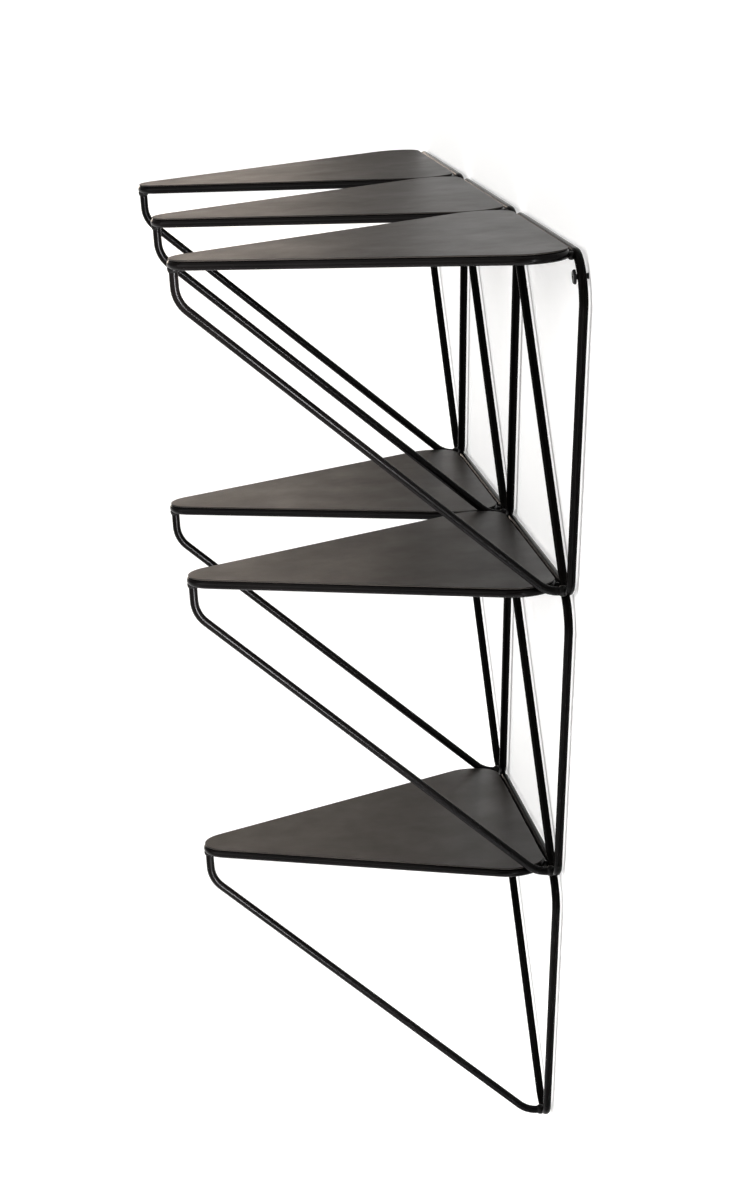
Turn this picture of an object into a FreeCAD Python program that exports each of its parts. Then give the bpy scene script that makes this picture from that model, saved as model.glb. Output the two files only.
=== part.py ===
import FreeCAD, Part
import math
import os
import Sketcher

# Metal wall shelf: six identical welded rod brackets hung on the wall as an inverted pyramid.
# X runs along the wall, Z is up and the wall is the plane Y = 0, with the shelf on its -Y side.
# The origin lies on the wall midway between the two wall screws.

os.makedirs("parts", exist_ok=True)
doc = FreeCAD.newDocument("wall_shelf")

# Driving dimensions in millimetres
dimensions = [
    ("rod_diameter", 6),            # every frame, ring and brace is bent from this rod
    ("bend_radius", 22),            # centre line of every bend
    ("bracket_width", 275),         # widest part of a bracket, over its rods
    ("weld_gap", 0.4),              # room for weld metal between two rods side by side
    ("wall_gap", 2),                # from the wall to the back of the frames
    ("brace_drop", 24.5),           # from the ring's centre line down to the brace's upper corner
    ("brace_reach", 13),            # from the frame's plane forward to the brace's lower corner
    ("brace_inset", 1),             # from the centre line of the ring's tip back to the brace
    ("cope_depth", 1.5),            # how far a brace end reaches past the flank of the rod it meets
    ("plate_thickness", 1),
    ("plate_overlap", 1.8),         # from the ring's centre line out to the plate's edge
    ("plate_edge_radius", 0.3),
    ("collar_radius", 3.9),         # weld collar round each end of a brace
    ("corner_radius", 2.8),         # weld at each end of the two back bars
    ("stitch_radius", 1.7),         # stitch weld under the two back bars
    ("stitch_length", 20),
    ("tack_radius", 1.6),           # tack weld between plate and ring
    ("nugget_radius", 2.6),         # weld between neighbouring frames
    ("screw_diameter", 3.5),        # smooth neck under the head
    ("thread_diameter", 4.2),
    ("thread_out", 0.5),            # length of thread in front of the wall
    ("screw_head_diameter", 9.2),
    ("screw_front_diameter", 8),    # flat front of the head inside its chamfer
    ("screw_head_height", 1.8),
    ("screw_rim_height", 1.2),
    ("screw_depth", 32),            # length of screw in the wall
    ("screw_point", 5),
    ("screw_clearance", 0.2),       # from the screw to the rod that hangs on it
    ("recess_length", 4.4),
    ("recess_width", 1),
    ("recess_depth", 1.2),
]
sheet = doc.addObject("Spreadsheet::Sheet", "dims")
for row, (alias, number) in enumerate(dimensions, start=1):
    sheet.set(f"A{row}", alias)
    sheet.set(f"B{row}", str(number))
    sheet.setAlias(f"B{row}", alias)
doc.recompute()

# Derived sizes, written once as expressions on the sheet
ROD_RADIUS = "(dims.rod_diameter / 2)"
PITCH = "(dims.bracket_width + dims.weld_gap)"
ROW_PITCH = f"({PITCH} * sqrt(3) / 2)"
HALF_BAR = f"(dims.bracket_width / 2 - {ROD_RADIUS} - dims.bend_radius)"
HALF_SIDE = f"({HALF_BAR} + dims.bend_radius * sqrt(3))"
TIP_REACH = f"({HALF_SIDE} * sqrt(3) - dims.bend_radius)"
RING_OFFSET = "(dims.rod_diameter + dims.weld_gap)"
TIP_DISTANCE = f"({RING_OFFSET} + {TIP_REACH})"
BRACE_SPAN = f"({TIP_DISTANCE} - dims.brace_inset)"
FRAME_PLANE = f"(dims.wall_gap + {ROD_RADIUS})"
SCREW_RADIUS = "(dims.screw_diameter / 2)"
HANG_RADIUS = f"(dims.bend_radius - {ROD_RADIUS} - {SCREW_RADIUS} - dims.screw_clearance)"
SCREW_X = f"({PITCH} + {HALF_BAR} + {HANG_RADIUS} * sqrt(3) / 2)"
TOP_BAR_Z = f"(dims.bend_radius - {HANG_RADIUS} / 2)"
HEAD_BACK = "(dims.wall_gap + dims.rod_diameter + dims.screw_clearance)"

# Corner welds sit a little way round the bends, where ring and frame part from each other
CORNER_TURN = 15
CORNER_ALONG = f"(dims.bend_radius * sin({CORNER_TURN} deg))"
CORNER_AWAY = f"(dims.bend_radius * (1 - cos({CORNER_TURN} deg)))"

# Weld places as shares of half a bar, or of a side from its back corner to its tip
STITCH_PLACES = (-0.6, 0, 0.6)
BAR_TACK_PLACES = (-0.5, 0.5)
SIDE_TACK_PLACES = (0.3, 0.7)

# Bead centres measured from a rod's centre line
STITCH_DROP = f"({ROD_RADIUS} * 0.8)"
CORNER_DROP = f"({ROD_RADIUS} * 0.3)"
TACK_RISE = f"({ROD_RADIUS} * 0.7)"
TACK_INSET = f"({ROD_RADIUS} * 0.9)"

# Name, place along the wall in pitches, and row counted from the top
brackets = [
    ("top_left", -1, 0),
    ("top_centre", 0, 0),
    ("top_right", 1, 0),
    ("middle_left", -0.5, 1),
    ("middle_right", 0.5, 1),
    ("bottom", 0, 2),
]


def value(expression):
    return float(sheet.evalExpression(expression))


def place(item, x, y, z):
    for axis, expression in zip("xyz", (x, y, z)):
        item.setExpression(f"Placement.Base.{axis}", expression)


def new_body(label):
    body = doc.addObject("PartDesign::Body", label)
    body.Label = label
    return body


def new_sketch(body, name, plane, offset=None):
    sketch = body.newObject("Sketcher::SketchObject", f"{body.Name}_{name}")
    support = next(item for item in body.Origin.OriginFeatures if item.Role == plane)
    sketch.AttachmentSupport = [(support, "")]
    sketch.MapMode = "FlatFace"
    if offset:
        sketch.setExpression("AttachmentOffset.Base.z", offset)
    return sketch


def constrain(sketch, kind, *where):
    return sketch.addConstraint(Sketcher.Constraint(kind, *where))


def measure(sketch, kind, where, expression, name):
    index = sketch.addConstraint(Sketcher.Constraint(kind, *where, value(expression)))
    sketch.renameConstraint(index, name)
    sketch.setExpression(f"Constraints.{name}", expression)


def line(sketch, start, end):
    return sketch.addGeometry(Part.LineSegment(FreeCAD.Vector(*start, 0), FreeCAD.Vector(*end, 0)), False)


def arc(sketch, centre, radius, start_angle, end_angle):
    circle = Part.Circle(FreeCAD.Vector(*centre, 0), FreeCAD.Vector(0, 0, 1), radius)
    return sketch.addGeometry(Part.ArcOfCircle(circle, start_angle, end_angle), False)


def circle_section(body, name, plane, offset=None):
    sketch = new_sketch(body, name, plane, offset)
    circle = Part.Circle(FreeCAD.Vector(0, 0, 0), FreeCAD.Vector(0, 0, 1), value(ROD_RADIUS))
    rod = sketch.addGeometry(circle, False)
    constrain(sketch, "Coincident", rod, 3, -1, 1)
    measure(sketch, "Radius", (rod,), ROD_RADIUS, "rod_radius")
    return sketch


def triangle_sketch(body, name, plane, outset="0"):
    # Equilateral triangle with rounded corners: a bar through the origin and the tip on the -Y side.
    # The bar is drawn in two halves so that a pipe can start in its middle. An outset draws the same
    # triangle larger by that much all round.
    sketch = new_sketch(body, name, plane)
    bend = f"(dims.bend_radius + {outset})"
    tip_depth = f"({TIP_REACH} + {outset} - dims.bend_radius)"
    radius = value(bend)
    half_bar = value(HALF_BAR)
    tip_centre = -value(tip_depth)
    across = radius * math.cos(math.radians(30))
    down = radius * math.sin(math.radians(30))
    right_bar = line(sketch, (0, 0), (half_bar, 0))
    right_bend = arc(sketch, (half_bar, -radius), radius, math.radians(-30), math.radians(90))
    right_side = line(sketch, (half_bar + across, -radius - down), (across, tip_centre - down))
    tip_bend = arc(sketch, (0, tip_centre), radius, math.radians(210), math.radians(330))
    left_side = line(sketch, (-across, tip_centre - down), (-half_bar - across, -radius - down))
    left_bend = arc(sketch, (-half_bar, -radius), radius, math.radians(90), math.radians(210))
    left_bar = line(sketch, (-half_bar, 0), (0, 0))
    constrain(sketch, "Coincident", right_bar, 1, -1, 1)
    constrain(sketch, "Coincident", left_bar, 2, -1, 1)
    constrain(sketch, "Tangent", right_bar, 2, right_bend, 2)
    constrain(sketch, "Tangent", right_bend, 1, right_side, 1)
    constrain(sketch, "Tangent", right_side, 2, tip_bend, 2)
    constrain(sketch, "Tangent", tip_bend, 1, left_side, 1)
    constrain(sketch, "Tangent", left_side, 2, left_bend, 2)
    constrain(sketch, "Tangent", left_bend, 1, left_bar, 1)
    constrain(sketch, "Horizontal", right_bar)
    constrain(sketch, "Horizontal", left_bar)
    constrain(sketch, "Equal", right_bar, left_bar)
    constrain(sketch, "Equal", right_bend, left_bend)
    constrain(sketch, "Equal", right_bend, tip_bend)
    constrain(sketch, "Equal", right_side, left_side)
    measure(sketch, "DistanceX", (right_bar, 1, right_bar, 2), HALF_BAR, "half_bar")
    measure(sketch, "Radius", (right_bend,), bend, "bend")
    measure(sketch, "DistanceY", (tip_bend, 3, -1, 1), tip_depth, "tip_depth")
    return sketch


def add_pipe(body, section, path):
    pipe = body.newObject("PartDesign::AdditivePipe", f"{body.Name}_rod")
    pipe.Profile = section
    drawn = [index for index in range(path.GeometryCount) if not path.getConstruction(index)]
    pipe.Spine = (path, [f"Edge{count}" for count in range(1, len(drawn) + 1)])
    return pipe


def rod_triangle(label, path_plane):
    body = new_body(label)
    path = triangle_sketch(body, "path", path_plane)
    section = circle_section(body, "section", "YZ_Plane")
    add_pipe(body, section, path)
    return body


def shelf_plate(label):
    body = new_body(label)
    outline = triangle_sketch(body, "outline", "XY_Plane", "dims.plate_overlap")
    pad = body.newObject("PartDesign::Pad", f"{label}_sheet")
    pad.Profile = outline
    pad.setExpression("Length", "dims.plate_thickness")
    doc.recompute()
    flat_edges = []
    for index, edge in enumerate(pad.Shape.Edges, start=1):
        if edge.BoundBox.ZLength < value("dims.plate_thickness") / 2:
            flat_edges.append(f"Edge{index}")
    rounding = body.newObject("PartDesign::Fillet", f"{label}_edges")
    rounding.Base = (pad, flat_edges)
    rounding.setExpression("Radius", "dims.plate_edge_radius")
    return body


def brace_path(body):
    # Side view from under the ring's tip: Y runs to the wall and Z up. Straight down, a bend, a
    # straight diagonal, a second bend and a short level tail to the frame's lowest bend.
    sketch = new_sketch(body, "path", "YZ_Plane")
    radius = value("dims.bend_radius")
    upper = FreeCAD.Vector(0, -value("dims.brace_drop"), 0)
    lower = FreeCAD.Vector(value(f"{BRACE_SPAN} - dims.brace_reach"), -value(TIP_REACH), 0)
    diagonal = lower - upper
    slope = math.atan2(-diagonal.y, diagonal.x)
    along = diagonal.normalize()
    upper_run = radius * math.tan((math.pi / 2 - slope) / 2)
    lower_run = radius * math.tan(slope / 2)
    start = (0, -value(f"{ROD_RADIUS} - dims.cope_depth"))
    end = (value(f"{BRACE_SPAN} - {ROD_RADIUS} + dims.cope_depth"), lower.y)
    drop_end = (0, upper.y + upper_run)
    diagonal_start = upper + along * upper_run
    diagonal_end = lower - along * lower_run
    tail_start = (lower.x + lower_run, lower.y)
    drop = line(sketch, start, drop_end)
    upper_bend = arc(sketch, (radius, drop_end[1]), radius, math.pi, math.pi * 1.5 - slope)
    strut = line(sketch, (diagonal_start.x, diagonal_start.y), (diagonal_end.x, diagonal_end.y))
    lower_bend = arc(sketch, (tail_start[0], lower.y + radius), radius, math.pi * 1.5 - slope, math.pi * 1.5)
    tail = line(sketch, tail_start, end)
    upper_corner = sketch.addGeometry(Part.Point(upper), True)
    lower_corner = sketch.addGeometry(Part.Point(lower), True)
    constrain(sketch, "Tangent", drop, 2, upper_bend, 1)
    constrain(sketch, "Tangent", upper_bend, 2, strut, 1)
    constrain(sketch, "Tangent", strut, 2, lower_bend, 1)
    constrain(sketch, "Tangent", lower_bend, 2, tail, 1)
    constrain(sketch, "Equal", upper_bend, lower_bend)
    constrain(sketch, "Vertical", drop)
    constrain(sketch, "Horizontal", tail)
    constrain(sketch, "PointOnObject", drop, 1, -2)
    constrain(sketch, "PointOnObject", upper_corner, 1, -2)
    constrain(sketch, "PointOnObject", upper_corner, 1, strut)
    constrain(sketch, "PointOnObject", lower_corner, 1, strut)
    constrain(sketch, "PointOnObject", lower_corner, 1, tail)
    measure(sketch, "Radius", (upper_bend,), "dims.bend_radius", "bend")
    measure(sketch, "DistanceY", (drop, 1, -1, 1), f"{ROD_RADIUS} - dims.cope_depth", "start_depth")
    measure(sketch, "DistanceY", (upper_corner, 1, -1, 1), "dims.brace_drop", "drop")
    measure(sketch, "DistanceY", (lower_corner, 1, -1, 1), TIP_REACH, "tail_depth")
    lower_reach = f"{BRACE_SPAN} - dims.brace_reach"
    measure(sketch, "DistanceX", (-1, 1, lower_corner, 1), lower_reach, "lower_reach")
    end_reach = f"{BRACE_SPAN} - {ROD_RADIUS} + dims.cope_depth"
    measure(sketch, "DistanceX", (-1, 1, tail, 2), end_reach, "end_reach")
    return sketch


def cope(body, name, plane, offset_y, offset_z):
    # Removes the bend of the rod that a brace end is fitted to.
    torus = body.newObject("PartDesign::SubtractiveTorus", f"{body.Name}_{name}")
    support = next(item for item in body.Origin.OriginFeatures if item.Role == plane)
    torus.AttachmentSupport = [(support, "")]
    torus.MapMode = "FlatFace"
    torus.setExpression("Radius1", "dims.bend_radius")
    torus.setExpression("Radius2", ROD_RADIUS)
    torus.setExpression("AttachmentOffset.Base.y", offset_y)
    torus.setExpression("AttachmentOffset.Base.z", offset_z)
    return torus


def brace(label):
    body = new_body(label)
    path = brace_path(body)
    section = circle_section(body, "section", "XY_Plane", f"dims.cope_depth - {ROD_RADIUS}")
    add_pipe(body, section, path)
    cope(body, "tip_cope", "XY_Plane", "dims.bend_radius - dims.brace_inset", "0")
    cope(body, "apex_cope", "XZ_Plane", f"dims.bend_radius - {TIP_REACH}", f"-{BRACE_SPAN}")
    return body


def bead(label, radius, x, y, z):
    ball = doc.addObject("Part::Sphere", label)
    ball.setExpression("Radius", radius)
    place(ball, x, y, z)
    return ball


def cut_by(item, tools):
    # Weld metal fills the room between the pieces, so each piece it touches is taken out of it.
    for tool in tools:
        cut = doc.addObject("Part::Cut", f"{item.Name}_to_{tool.Name}")
        cut.Base = item
        cut.Tool = tool
        item = cut
    return item


def group(label, items):
    compound = doc.addObject("Part::Compound", label)
    compound.Label = label
    compound.Links = items
    return compound


def bracket_welds(name, x, z, frame, ring, plate, strut):
    ring_y = f"-{FRAME_PLANE} - {RING_OFFSET}"
    welds = []
    tip_y = f"-{FRAME_PLANE} - {BRACE_SPAN}"
    tip = bead(f"{name}_tip_collar", "dims.collar_radius", x, tip_y, f"{z} - {ROD_RADIUS}")
    welds.append(cut_by(tip, [ring, strut]))
    apex_y = f"-{FRAME_PLANE} - {ROD_RADIUS}"
    apex = bead(f"{name}_apex_collar", "dims.collar_radius", x, apex_y, f"{z} - {TIP_REACH}")
    welds.append(cut_by(apex, [frame, strut]))
    # Three stitches under the groove between the ring's back bar and the frame's top bar
    for count, share in enumerate(STITCH_PLACES, start=1):
        stitch = doc.addObject("Part::Cylinder", f"{name}_stitch_{count}")
        stitch.setExpression("Radius", "dims.stitch_radius")
        stitch.setExpression("Height", "dims.stitch_length")
        stitch.Placement.Rotation = FreeCAD.Rotation(FreeCAD.Vector(0, 1, 0), 90)
        stitch_x = f"{x} + {share} * {HALF_BAR} - dims.stitch_length / 2"
        stitch_y = f"-{FRAME_PLANE} - {RING_OFFSET} / 2"
        place(stitch, stitch_x, stitch_y, f"{z} - {STITCH_DROP}")
        welds.append(cut_by(stitch, [ring, frame]))
    # One bead at each end of those bars
    for count, side in enumerate((-1, 1), start=1):
        corner_x = f"{x} + {side} * ({HALF_BAR} + {CORNER_ALONG})"
        corner_y = f"-{FRAME_PLANE} - ({RING_OFFSET} + {CORNER_AWAY}) / 2"
        corner_z = f"{z} - {CORNER_AWAY} / 2 - {CORNER_DROP}"
        corner = bead(f"{name}_corner_{count}", "dims.corner_radius", corner_x, corner_y, corner_z)
        welds.append(cut_by(corner, [ring, frame]))
    # Two tacks on each side of the ring, in the corner between its inner flank and the plate
    tacks = []
    for share in BAR_TACK_PLACES:
        tacks.append((f"{x} + {share} * {HALF_BAR}", f"{ring_y} - {TACK_INSET}"))
    for side in (-1, 1):
        for share in SIDE_TACK_PLACES:
            along_x = f"{side} * ({HALF_SIDE} * (1 - {share}) - {TACK_INSET} * sqrt(3) / 2)"
            along_y = f"{HALF_SIDE} * sqrt(3) * {share} - {TACK_INSET} / 2"
            tacks.append((f"{x} + {along_x}", f"{ring_y} - ({along_y})"))
    for count, (tack_x, tack_y) in enumerate(tacks, start=1):
        tack = bead(f"{name}_tack_{count}", "dims.tack_radius", tack_x, tack_y, f"{z} + {TACK_RISE}")
        welds.append(cut_by(tack, [plate, ring]))
    return group(f"{name}_welds", welds)


def bracket(name, pitches, row):
    x = f"{PITCH} * ({pitches})"
    z = f"({TOP_BAR_Z} - {ROW_PITCH} * {row})"
    ring_y = f"-{FRAME_PLANE} - {RING_OFFSET}"
    frame = rod_triangle(f"{name}_back_frame", "XZ_Plane")
    place(frame, x, f"-{FRAME_PLANE}", z)
    ring = rod_triangle(f"{name}_shelf_ring", "XY_Plane")
    place(ring, x, ring_y, z)
    plate = shelf_plate(f"{name}_shelf_plate")
    place(plate, x, f"{ring_y} + dims.plate_overlap", f"{z} + {ROD_RADIUS}")
    strut = brace(f"{name}_brace")
    place(strut, x, f"-{FRAME_PLANE} - {BRACE_SPAN}", z)
    welds = bracket_welds(name, x, z, frame, ring, plate, strut)
    return [frame, ring, plate, strut, welds]


def joining_welds(back_frames):
    # Frames meet where their bends come within the weld gap of each other: side by side in a row, and
    # where a tip nests between the upper corners of the row below.
    contacts = [
        ("top_left", "top_centre"),
        ("top_centre", "top_right"),
        ("middle_left", "middle_right"),
        ("top_left", "middle_left"),
        ("top_centre", "middle_left"),
        ("top_centre", "middle_right"),
        ("top_right", "middle_right"),
        ("middle_left", "bottom"),
        ("middle_right", "bottom"),
    ]
    places = {name: (pitches, row) for name, pitches, row in brackets}
    nuggets = []
    for upper, lower in contacts:
        upper_pitches, upper_row = places[upper]
        lower_pitches, lower_row = places[lower]
        if upper_row == lower_row:
            x = f"{PITCH} * ({(upper_pitches + lower_pitches) / 2})"
            z = f"{TOP_BAR_Z} - {ROW_PITCH} * {upper_row} - dims.bend_radius"
        else:
            # Halfway between the centres of the two bends
            side = 1 if upper_pitches > lower_pitches else -1
            x = f"{PITCH} * ({(upper_pitches + lower_pitches) / 2}) + {side} * {HALF_BAR} / 2"
            bends_z = f"({ROW_PITCH} * {upper_row + lower_row} + {TIP_REACH}) / 2"
            z = f"{TOP_BAR_Z} - {bends_z}"
        nugget = bead(f"{upper}_{lower}_nugget", "dims.nugget_radius", x, f"-{FRAME_PLANE}", z)
        nuggets.append(cut_by(nugget, [back_frames[upper], back_frames[lower]]))
    return group("joining_welds", nuggets)


def wall_screw(label, side):
    # Flat head screw along Y: the head in front of the rod, the point in the wall.
    body = new_body(label)
    profile = new_sketch(body, "profile", "XY_Plane")
    corners = [
        ("0", "dims.screw_depth"),
        ("dims.thread_diameter / 2", "dims.screw_depth - dims.screw_point"),
        ("dims.thread_diameter / 2", "-dims.thread_out"),
        (SCREW_RADIUS, "-dims.thread_out"),
        (SCREW_RADIUS, f"-{HEAD_BACK}"),
        ("dims.screw_head_diameter / 2", f"-{HEAD_BACK}"),
        ("dims.screw_head_diameter / 2", f"-{HEAD_BACK} - dims.screw_rim_height"),
        ("dims.screw_front_diameter / 2", f"-{HEAD_BACK} - dims.screw_head_height"),
        ("0", f"-{HEAD_BACK} - dims.screw_head_height"),
    ]
    points = [(value(x), value(y)) for x, y in corners]
    lines = []
    for index, start in enumerate(points):
        lines.append(line(profile, start, points[(index + 1) % len(points)]))
    for index, segment in enumerate(lines):
        constrain(profile, "Coincident", segment, 2, lines[(index + 1) % len(lines)], 1)
    for index, (x, y) in enumerate(corners):
        if x == "0":
            constrain(profile, "PointOnObject", lines[index], 1, -2)
        else:
            measure(profile, "DistanceX", (-1, 1, lines[index], 1), x, f"corner_{index}_out")
        if points[index][1] > 0:
            measure(profile, "DistanceY", (-1, 1, lines[index], 1), y, f"corner_{index}_along")
        else:
            measure(profile, "DistanceY", (lines[index], 1, -1, 1), f"-({y})", f"corner_{index}_along")
    turned = body.newObject("PartDesign::Revolution", f"{label}_turned")
    turned.Profile = profile
    turned.ReferenceAxis = (profile, ["V_Axis"])
    turned.Angle = 360
    # Cross recess in the head
    for count, (length, width) in enumerate((("length", "width"), ("width", "length")), start=1):
        slot = body.newObject("PartDesign::SubtractiveBox", f"{label}_recess_{count}")
        slot.setExpression("Length", f"dims.recess_{length}")
        slot.setExpression("Width", "dims.recess_depth")
        slot.setExpression("Height", f"dims.recess_{width}")
        slot.setExpression("Placement.Base.x", f"-dims.recess_{length} / 2")
        slot.setExpression("Placement.Base.y", f"-{HEAD_BACK} - dims.screw_head_height")
        slot.setExpression("Placement.Base.z", f"-dims.recess_{width} / 2")
    place(body, f"{side} * {SCREW_X}", "0", "0")
    return body


nodes = []
frames = {}
for bracket_name, bracket_pitches, bracket_row in brackets:
    pieces = bracket(bracket_name, bracket_pitches, bracket_row)
    frames[bracket_name] = pieces[0]
    nodes.extend(pieces)
nodes.append(joining_welds(frames))
nodes.append(group("wall_screws", [wall_screw("left_screw", -1), wall_screw("right_screw", 1)]))
doc.recompute()

for item in doc.Objects:
    if "Invalid" in item.State or "Error" in item.State:
        raise RuntimeError(f"{item.Label} did not compute: {item.State}")
for node in nodes:
    if node.Shape.isNull() or not node.Shape.isValid():
        raise RuntimeError(f"{node.Label} has no valid shape")
for node in nodes:
    node.Shape.exportStep(f"parts/{node.Label}.step")
    print(node.Label, "solids", len(node.Shape.Solids), "volume", round(node.Shape.Volume, 1))
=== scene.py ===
import math
import bpy
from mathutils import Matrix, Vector

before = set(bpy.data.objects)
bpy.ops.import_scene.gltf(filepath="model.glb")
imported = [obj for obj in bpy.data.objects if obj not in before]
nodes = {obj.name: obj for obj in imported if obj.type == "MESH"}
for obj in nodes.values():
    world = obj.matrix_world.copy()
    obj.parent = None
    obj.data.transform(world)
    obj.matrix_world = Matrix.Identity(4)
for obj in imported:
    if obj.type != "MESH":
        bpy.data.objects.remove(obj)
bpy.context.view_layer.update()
print("shelf loaded,", len(nodes), "pieces")


def newMaterial(name):
    material = bpy.data.materials.new(name)
    material.use_nodes = True
    tree = material.node_tree
    tree.nodes.clear()
    output = tree.nodes.new("ShaderNodeOutputMaterial")
    shader = tree.nodes.new("ShaderNodeBsdfPrincipled")
    tree.links.new(shader.outputs["BSDF"], output.inputs["Surface"])
    return material, tree, shader, output


grain = {  # shared by all the lacquers
    "toneDetail": 4.0,
    "toneRoughness": 0.5,
    "darkStop": 0.35,
    "lightStop": 0.68,
    "sheenDetail": 5.0,
    "sheenRoughness": 0.6,
    "sheenLow": 0.3,  # most of the noise lies between these two
    "sheenHigh": 0.7,
    "peelDetail": 2.0,
    "peelRoughness": 0.5,
}


def noiseNode(tree, coords, scale, detail, roughness):
    noise = tree.nodes.new("ShaderNodeTexNoise")
    noise.inputs["Scale"].default_value = scale
    noise.inputs["Detail"].default_value = detail
    noise.inputs["Roughness"].default_value = roughness
    tree.links.new(coords, noise.inputs["Vector"])
    return noise.outputs["Fac"]


def rampNode(tree, factor, dark, light):
    ramp = tree.nodes.new("ShaderNodeValToRGB")
    first, last = ramp.color_ramp.elements
    first.position = grain["darkStop"]
    first.color = (*dark, 1.0)
    last.position = grain["lightStop"]
    last.color = (*light, 1.0)
    tree.links.new(factor, ramp.inputs["Fac"])
    return ramp.outputs["Color"]


def rangeNode(tree, factor, low, high):
    spread = tree.nodes.new("ShaderNodeMapRange")
    spread.inputs["From Min"].default_value = grain["sheenLow"]
    spread.inputs["From Max"].default_value = grain["sheenHigh"]
    spread.inputs["To Min"].default_value = low
    spread.inputs["To Max"].default_value = high
    tree.links.new(factor, spread.inputs["Value"])
    return spread.outputs["Result"]


def lacquer(name, look):
    material, tree, shader, output = newMaterial(name)
    coords = tree.nodes.new("ShaderNodeTexCoord").outputs["Object"]
    tone = noiseNode(tree, coords, look["toneScale"], grain["toneDetail"], grain["toneRoughness"])
    shade = rampNode(tree, tone, look["dark"], look["light"])
    tree.links.new(shade, shader.inputs["Base Color"])
    sheen = noiseNode(tree, coords, look["glossScale"], grain["sheenDetail"], grain["sheenRoughness"])
    gloss = rangeNode(tree, sheen, look["glossiest"], look["dullest"])
    tree.links.new(gloss, shader.inputs["Roughness"])
    shader.inputs["Specular IOR Level"].default_value = look["specular"]
    peel = noiseNode(tree, coords, look["peelScale"], grain["peelDetail"], grain["peelRoughness"])
    bump = tree.nodes.new("ShaderNodeBump")
    bump.inputs["Strength"].default_value = look["peelStrength"]
    bump.inputs["Distance"].default_value = look["peelHeight"]
    tree.links.new(peel, bump.inputs["Height"])
    tree.links.new(bump.outputs["Normal"], shader.inputs["Normal"])
    return material


rodLook = {  # semi-gloss black on the bent rods
    "dark": (0.0012, 0.00105, 0.0010),
    "light": (0.0025, 0.0021, 0.0020),
    "toneScale": 14.0,
    "glossiest": 0.17,
    "dullest": 0.23,
    "glossScale": 60.0,
    "specular": 0.04,
    "peelScale": 900.0,
    "peelStrength": 0.05,
    "peelHeight": 0.0004,
}
frameShadedLook = {**rodLook, "specular": 0.012}  # the same coat with its reflection turned down on the back frames: painted shade, darker bars standing in for the shade at the wall
plateLook = {  # satin black on the sheet, a little warmer
    "dark": (0.0125, 0.0107, 0.0094),
    "light": (0.0205, 0.0178, 0.0157),
    "toneScale": 9.0,
    "glossiest": 0.36,
    "dullest": 0.45,
    "glossScale": 26.0,
    "specular": 0.1,
    "peelScale": 1100.0,
    "peelStrength": 0.15,
    "peelHeight": 0.0004,
}
weldLook = {  # the same coat lying over rough beads
    "dark": (0.0016, 0.0015, 0.0015),
    "light": (0.0050, 0.0046, 0.0044),
    "toneScale": 160.0,
    "glossiest": 0.24,
    "dullest": 0.40,
    "glossScale": 240.0,
    "specular": 0.07,
    "peelScale": 620.0,
    "peelStrength": 0.55,
    "peelHeight": 0.0009,
}
screwLook = {  # blackened steel
    "dark": (0.0028, 0.0027, 0.0028),
    "light": (0.0075, 0.0070, 0.0068),
    "toneScale": 300.0,
    "glossiest": 0.30,
    "dullest": 0.48,
    "glossScale": 500.0,
    "specular": 0.1,
    "peelScale": 1500.0,
    "peelStrength": 0.2,
    "peelHeight": 0.0003,
}

rodLacquer = lacquer("rodLacquer", rodLook)
# painted shade: a copy of the rod coat with weaker reflection, laid on the back frames
frameShadedLacquer = lacquer("frameShadedLacquer", frameShadedLook)
plateLacquer = lacquer("plateLacquer", plateLook)
weldLacquer = lacquer("weldLacquer", weldLook)
screwBlack = lacquer("screwBlack", screwLook)
finishes = {  # the end of a piece's name says its finish
    "_back_frame": frameShadedLacquer,
    "_shelf_ring": rodLacquer,
    "_brace": rodLacquer,
    "_shelf_plate": plateLacquer,
    "_welds": weldLacquer,
    "_screws": screwBlack,
}
for name, piece in nodes.items():
    for ending, finish in finishes.items():
        if name.endswith(ending):
            for place in piece.material_slots:
                place.material = finish
print("finishes laid on")

studio = {
    "floorHeight": -1.10,
    "floorSize": 120.0,
    "floorLift": 0.34,  # added to the lit paper where it is seen, so that it comes out white
    "paperColour": (0.90, 0.90, 0.895, 1.0),
    "paperRoughness": 0.9,
    "liftColour": (1.0, 1.0, 1.0, 1.0),
    "worldColour": (1.0, 0.965, 0.93, 1.0),
    "worldStrength": 0.30,
}
wallSheet = {  # the wall that the shelf hangs on
    "left": -0.46,
    "right": 0.86,
    "top": 0.60,
    "depth": 0.0,
    "lift": 0.22,
}
backSheet = {  # white beyond the floor's far side
    "left": -30.0,
    "right": 30.0,
    "top": 20.0,
    "depth": 30.0,
    "lift": 0.34,
}


def mathNode(tree, operation):
    node = tree.nodes.new("ShaderNodeMath")
    node.operation = operation
    return node


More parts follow.
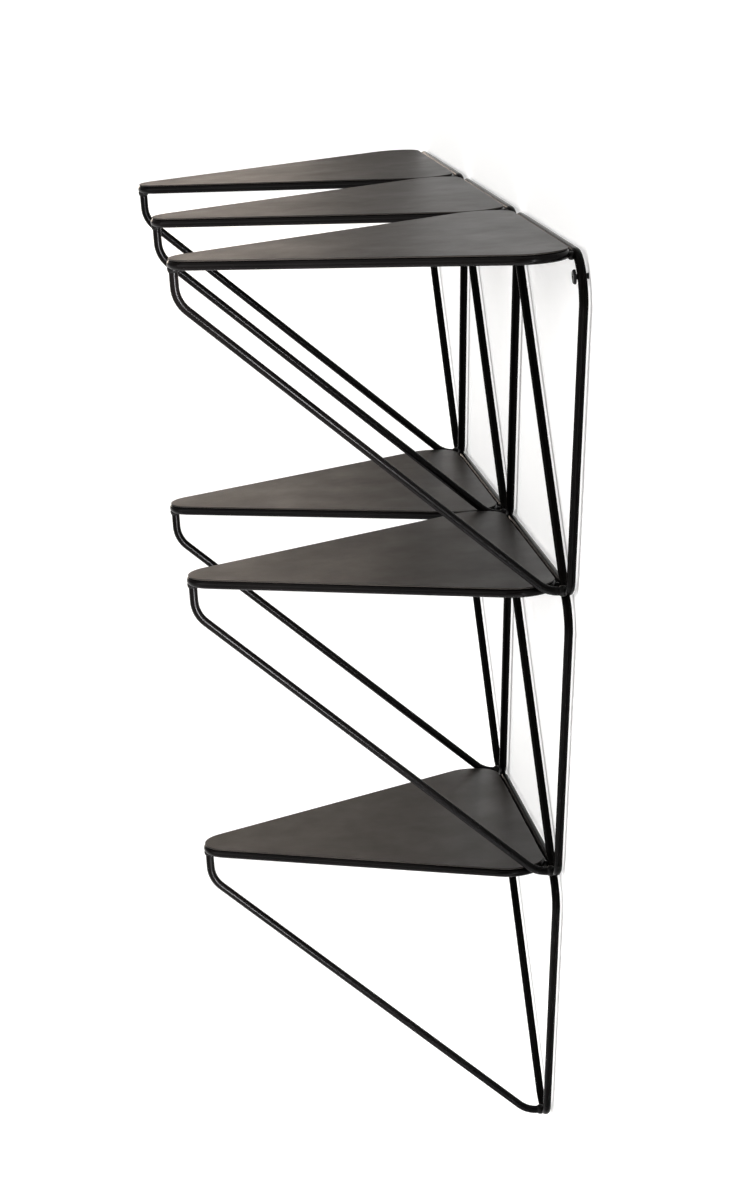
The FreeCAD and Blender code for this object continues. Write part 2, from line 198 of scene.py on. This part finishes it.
def paper(name, whiteLift, oneSided):
    material, tree, shader, output = newMaterial(name)
    shader.inputs["Base Color"].default_value = studio["paperColour"]
    shader.inputs["Roughness"].default_value = studio["paperRoughness"]
    shader.inputs["Specular IOR Level"].default_value = 0.0
    shader.inputs["Emission Color"].default_value = studio["liftColour"]
    path = tree.nodes.new("ShaderNodeLightPath")
    seen = mathNode(tree, "MAXIMUM")
    tree.links.new(path.outputs["Is Camera Ray"], seen.inputs[0])
    tree.links.new(path.outputs["Is Glossy Ray"], seen.inputs[1])
    through = mathNode(tree, "MAXIMUM")
    tree.links.new(seen.outputs["Value"], through.inputs[0])
    tree.links.new(path.outputs["Is Transmission Ray"], through.inputs[1])
    lift = mathNode(tree, "MULTIPLY")
    lift.inputs[1].default_value = whiteLift
    tree.links.new(through.outputs["Value"], lift.inputs[0])
    tree.links.new(lift.outputs["Value"], shader.inputs["Emission Strength"])
    if oneSided:  # open from behind, so that the back of the shelf can be looked at
        side = tree.nodes.new("ShaderNodeNewGeometry")
        clear = tree.nodes.new("ShaderNodeBsdfTransparent")
        mix = tree.nodes.new("ShaderNodeMixShader")
        tree.links.new(side.outputs["Backfacing"], mix.inputs["Fac"])
        tree.links.new(shader.outputs["BSDF"], mix.inputs[1])
        tree.links.new(clear.outputs["BSDF"], mix.inputs[2])
        tree.links.new(mix.outputs["Shader"], output.inputs["Surface"])
    return material


bpy.ops.mesh.primitive_plane_add(size=studio["floorSize"], location=(0, 0, studio["floorHeight"]))
floor = bpy.context.active_object
floor.name = "floor"
floor.data.materials.append(paper("floorPaper", studio["floorLift"], False))


def uprightSheet(name, size, paperName):
    bottom = studio["floorHeight"]
    left, right, top = size["left"], size["right"], size["top"]
    bpy.ops.mesh.primitive_plane_add(size=1.0)
    sheet = bpy.context.active_object
    sheet.name = name
    sheet.rotation_euler = (math.radians(90), 0, 0)
    sheet.scale = (right - left, top - bottom, 1)
    sheet.location = ((right + left) / 2, size["depth"], (top + bottom) / 2)
    bpy.ops.object.transform_apply(location=True, rotation=True, scale=True)
    sheet.data.materials.append(paper(paperName, size["lift"], True))


uprightSheet("wall", wallSheet, "wallPaper")
uprightSheet("backdrop", backSheet, "backPaper")

world = bpy.data.worlds.new("studioWorld")
bpy.context.scene.world = world
world.use_nodes = True
air = world.node_tree.nodes["Background"]
air.inputs["Color"].default_value = studio["worldColour"]
air.inputs["Strength"].default_value = studio["worldStrength"]

lamps = {
    "sideStrip": {
        "place": (1.35, 0.10, -0.40),
        "target": (0.1, -0.12, -0.40),
        "width": 0.17,
        "height": 0.90,
        "power": 108.0,
        "colour": (0.98, 0.97, 1.0),
    },
    "farWindow": {
        "place": (-11.9, -2.2, 0.85),
        "target": (0.0, -2.2, 0.0),
        "width": 6.0,
        "height": 0.9,
        "power": 132.0,
        "colour": (1.0, 0.85, 0.72),
    },
}
for name, setting in lamps.items():
    bpy.ops.object.light_add(type="AREA", location=setting["place"])
    lamp = bpy.context.active_object
    lamp.name = name
    lamp.data.shape = "RECTANGLE"
    lamp.data.size = setting["width"]
    lamp.data.size_y = setting["height"]
    lamp.data.energy = setting["power"]
    lamp.data.color = setting["colour"]
    aim = Vector(setting["target"]) - Vector(setting["place"])
    lamp.rotation_euler = aim.to_track_quat("-Z", "Y").to_euler()
broadLights = {  # the side it comes from, its strength, and its spread in degrees
    "roomLight": {"side": (0.25, -0.92, 0.22), "strength": 2.1, "spread": 46.0},
    "ceilingLight": {"side": (0.05, -0.25, 1.0), "strength": 1.2, "spread": 64.0},
}
for name, setting in broadLights.items():
    bpy.ops.object.light_add(type="SUN")
    lamp = bpy.context.active_object
    lamp.name = name
    lamp.rotation_euler = Vector(setting["side"]).to_track_quat("Z", "Y").to_euler()
    lamp.data.energy = setting["strength"]
    lamp.data.angle = math.radians(setting["spread"])
print("studio lit")

view = {  # worked out from the straight edges in the photograph
    "place": (2.33075, -0.31917, 0.24788),
    "turn": (77.2870, 4.0133, 84.0630),
    "lens": 155.716,
    "sensorWidth": 36.0,
    "farthest": 200.0,
}
turn = [math.radians(angle) for angle in view["turn"]]
bpy.ops.object.camera_add(location=view["place"], rotation=turn)
camera = bpy.context.active_object
camera.data.sensor_fit = "HORIZONTAL"
camera.data.sensor_width = view["sensorWidth"]
camera.data.lens = view["lens"]
camera.data.clip_end = view["farthest"]
bpy.context.scene.camera = camera
bpy.context.scene.view_settings.view_transform = "Standard"
print("camera set")
